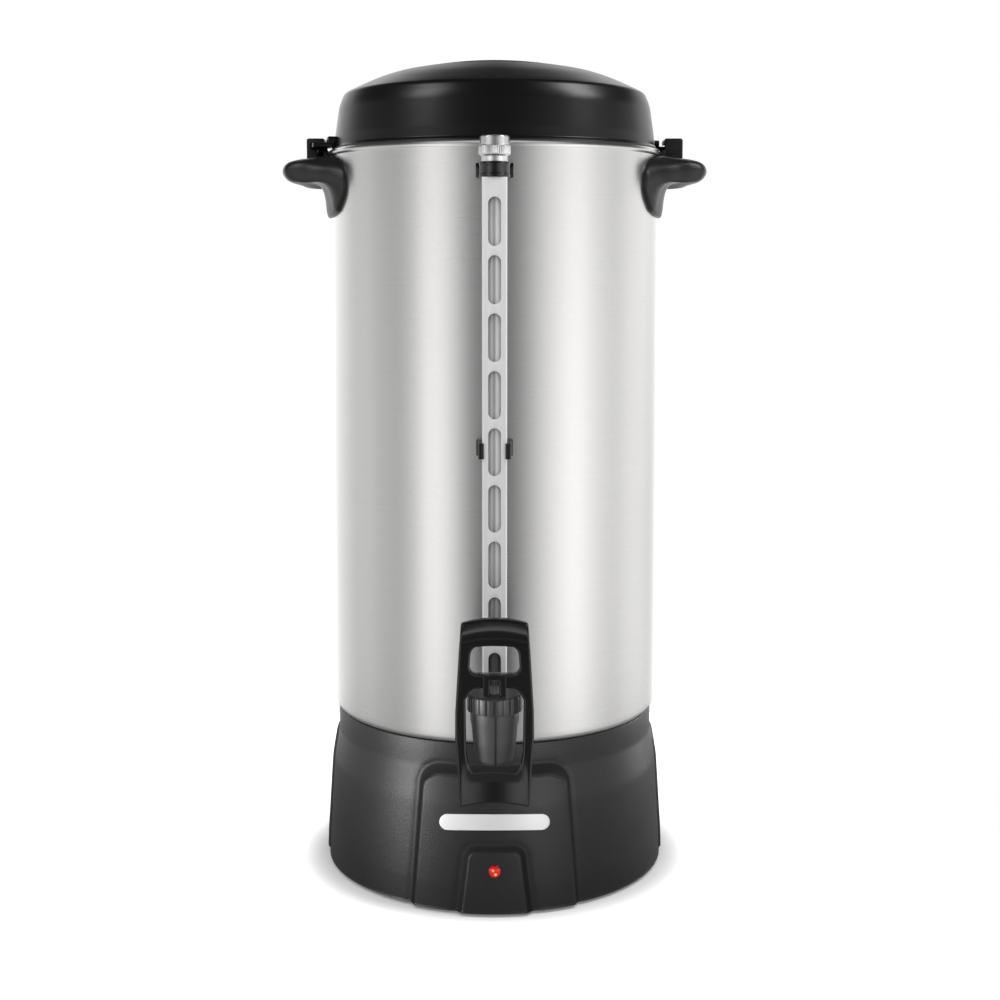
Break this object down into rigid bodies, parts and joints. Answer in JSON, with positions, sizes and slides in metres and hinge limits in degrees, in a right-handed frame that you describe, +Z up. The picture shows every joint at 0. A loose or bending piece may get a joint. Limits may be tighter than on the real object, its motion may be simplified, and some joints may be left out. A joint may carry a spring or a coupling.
{
  "type": "coffee urn",
  "caption": "Upright brushed urn on a dark flared base, with a domed twist-lock lid, side handles, a slotted level gauge and a cup-operated dispensing lever.",
  "frame": {"origin": "On the tank's vertical axis, in the plane of the feet's undersides.", "axes": "+Z up along the tank's axis, front with the faucet and gauge towards -Y, the handles on +X and -X."},
  "size_m": [0.2936, 0.3103, 0.5665],
  "materials": {
    "tank_aluminium": "brushed round the tank, satin",
    "base_plastic": "moulded phenolic, fine grain",
    "badge_metal": "blank pale satin plate",
    "lens_red": "clear red moulded lens",
    "lamp_glass": "neon lamp",
    "cover_steel": "pressed sheet, black enamel",
    "screw_steel": "zinc plated",
    "foot_rubber": "moulded",
    "inlet_plastic": "moulded",
    "pin_metal": "nickelled brass",
    "reflector_aluminium": "bright pressed sheet",
    "heater_sheath": "heat-darkened sheath",
    "band_metal": "clamped mica heater band",
    "thermostat_ceramic": "glazed ceramic",
    "fuse_metal": "plated can",
    "wire_brown": "silicone sleeving",
    "wire_blue": "silicone sleeving",
    "wire_grey": "silicone sleeving",
    "handle_plastic": "moulded phenolic, satin",
    "washer_rubber": "silicone seal",
    "gauge_glass": "clear tube",
    "shield_aluminium": "folded sheet, lengthwise brushed",
    "gauge_plastic": "moulded, polished",
    "cap_aluminium": "turned and knurled",
    "clip_plastic": "moulded",
    "faucet_plastic": "moulded, fine grain",
    "bonnet_plastic": "moulded, ribbed",
    "stem_plastic": "light moulded rod",
    "spring_steel": "coiled wire",
    "lever_plastic": "moulded, polished",
    "pump_aluminium": "drawn tube, spun foot",
    "basket_aluminium": "spun and punched sheet",
    "lid_plastic": "moulded, satin",
    "grip_plastic": "moulded, satin"
  },
  "bodies": {
    "urn": {"tank": "tank_aluminium", "base_skirt": "base_plastic", "badge_plate": "badge_metal", "pilot_lens": "lens_red", "pilot_lamp": "lamp_glass", "bottom_cover": "cover_steel", "bottom_cover_screws": "screw_steel", "feet": "foot_rubber", "power_inlet": "inlet_plastic", "inlet_pins": "pin_metal", "inlet_screws": "screw_steel", "mounting_studs": "screw_steel", "stud_nuts": "screw_steel", "heat_reflector": "reflector_aluminium", "heater_ring": "heater_sheath", "keep_warm_band": "band_metal", "thermostat": "thermostat_ceramic", "thermostat_bracket": "screw_steel", "thermal_fuse": "fuse_metal", "wire_live": "wire_brown", "wire_neutral": "wire_blue", "wire_link": "wire_brown", "wires_lamp": "wire_grey", "handle_left": "handle_plastic", "handle_right": "handle_plastic", "handle_screws": "screw_steel", "handle_washers": "washer_rubber", "gauge_glass": "gauge_glass", "gauge_shield": "shield_aluminium", "gauge_collar": "gauge_plastic", "gauge_lower_seal": "washer_rubber", "gauge_clamp": "gauge_plastic", "gauge_cap": "cap_aluminium", "gauge_cap_seal": "washer_rubber", "gauge_clip": "clip_plastic", "gauge_screws": "screw_steel", "gauge_nuts": "screw_steel", "faucet_body": "faucet_plastic", "faucet_seal_outer": "washer_rubber", "faucet_seal_inner": "washer_rubber", "faucet_nut": "screw_steel", "bonnet": "bonnet_plastic"},
    "valve_stem": {"valve_stem": "stem_plastic", "valve_seat_cup": "washer_rubber", "valve_spring": "spring_steel"},
    "lever": {"lever": "lever_plastic", "lever_pin": "screw_steel"},
    "brew_stack": {"pump_tube": "pump_aluminium", "basket": "basket_aluminium", "basket_lid": "basket_aluminium"},
    "pump_washer": {"pump_washer": "screw_steel"},
    "lid_seal": {"lid_seal": "washer_rubber"},
    "lid": {"lid_shell": "lid_plastic", "lid_grip": "grip_plastic", "lid_grip_screws": "screw_steel"}
  },
  "joints": [
    {"name": "stem_lift", "type": "slide", "parent": "urn", "child": "valve_stem", "axis": [0, 0, 1], "range_m": [0, 0.00259], "deforming": ["valve_spring"]},
    {"name": "lever_tilt", "type": "hinge", "parent": "valve_stem", "child": "lever", "pos_m": [0, -0.1626, 0.17], "axis": [1, 0, 0], "range_deg": [0, 15], "stiffness_Nm_per_rad": 0.6, "springref_deg": -11.46},
    {"name": "lid_lift", "type": "slide", "parent": "urn", "child": "lid_seal", "axis": [0, 0, 1], "range_m": [0, 0.15]},
    {"name": "lid_twist", "type": "hinge", "parent": "lid_seal", "child": "lid", "pos_m": [0, 0, 0.505], "axis": [0, 0, 1], "range_deg": [-9.5, 0]},
    {"name": "brew_lift", "type": "slide", "parent": "urn", "child": "brew_stack", "axis": [0, 0, 1], "range_m": [0, 0.015]},
    {"name": "washer_hop", "type": "slide", "parent": "brew_stack", "child": "pump_washer", "axis": [0, 0, 1], "range_m": [0, 0.002]}
  ],
  "couplings": [
    {"joint": "lever_tilt", "follows": "stem_lift", "rad_per_m": 101}
  ]
}
